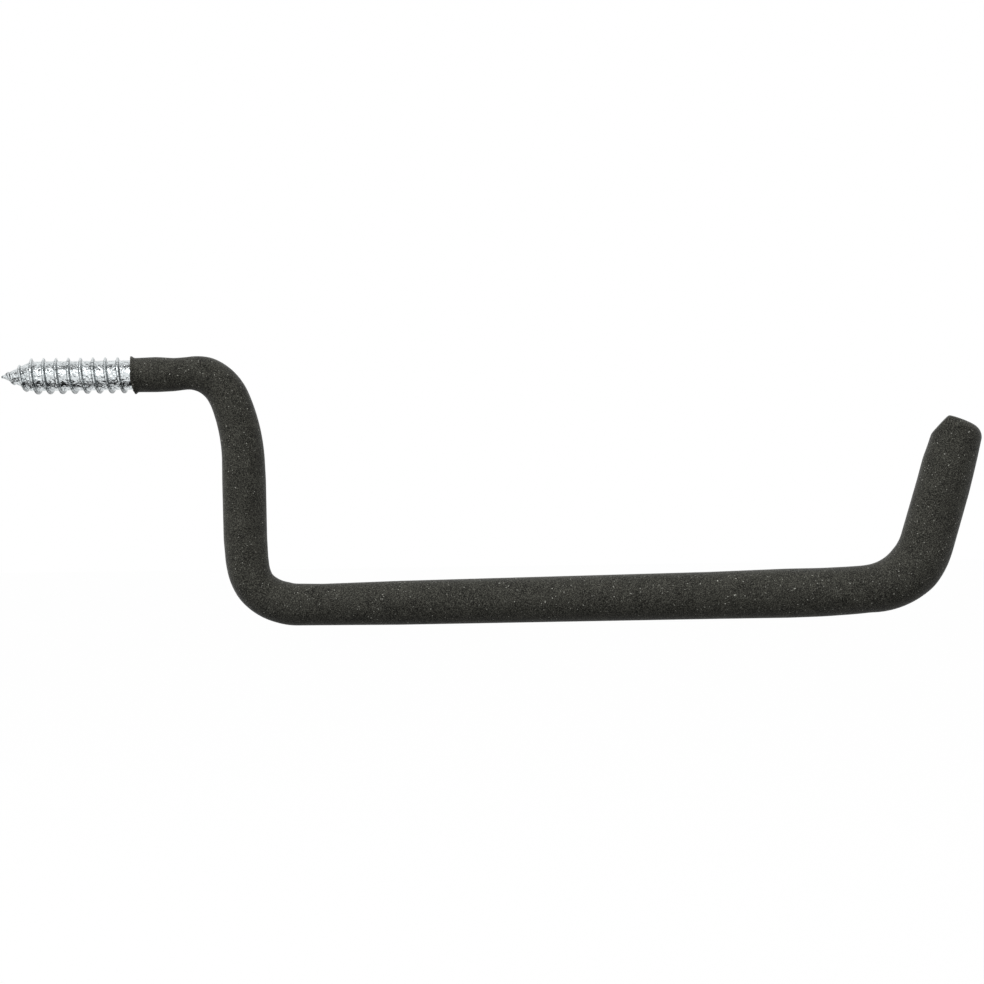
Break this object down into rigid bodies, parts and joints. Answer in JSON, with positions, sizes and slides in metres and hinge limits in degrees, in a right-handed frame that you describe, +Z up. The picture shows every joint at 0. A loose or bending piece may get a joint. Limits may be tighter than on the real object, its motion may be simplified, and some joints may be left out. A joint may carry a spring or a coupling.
{
  "type": "ladder hook",
  "caption": "Screw-in ladder hook: a steel rod with a lag thread, bent into a long cradle with an upturned toe, dipped in charcoal vinyl up to a lip beside the thread.",
  "frame": {"origin": "on the screw axis, at the top of the coat's lip, where the wall's face comes when the hook is driven home", "axes": "+X leaves the wall along the screw axis and out to the toe, +Z is up, Y runs across the rod"},
  "size_m": [0.2162, 0.0122, 0.0602],
  "materials": {
    "zinc_steel": "bright zinc plating, lightly mottled",
    "charcoal_vinyl": "matt dipped vinyl with a fine grain"
  },
  "bodies": {
    "root": {"steel_rod": "zinc_steel", "vinyl_coat": "charcoal_vinyl"}
  },
  "joints": []
}
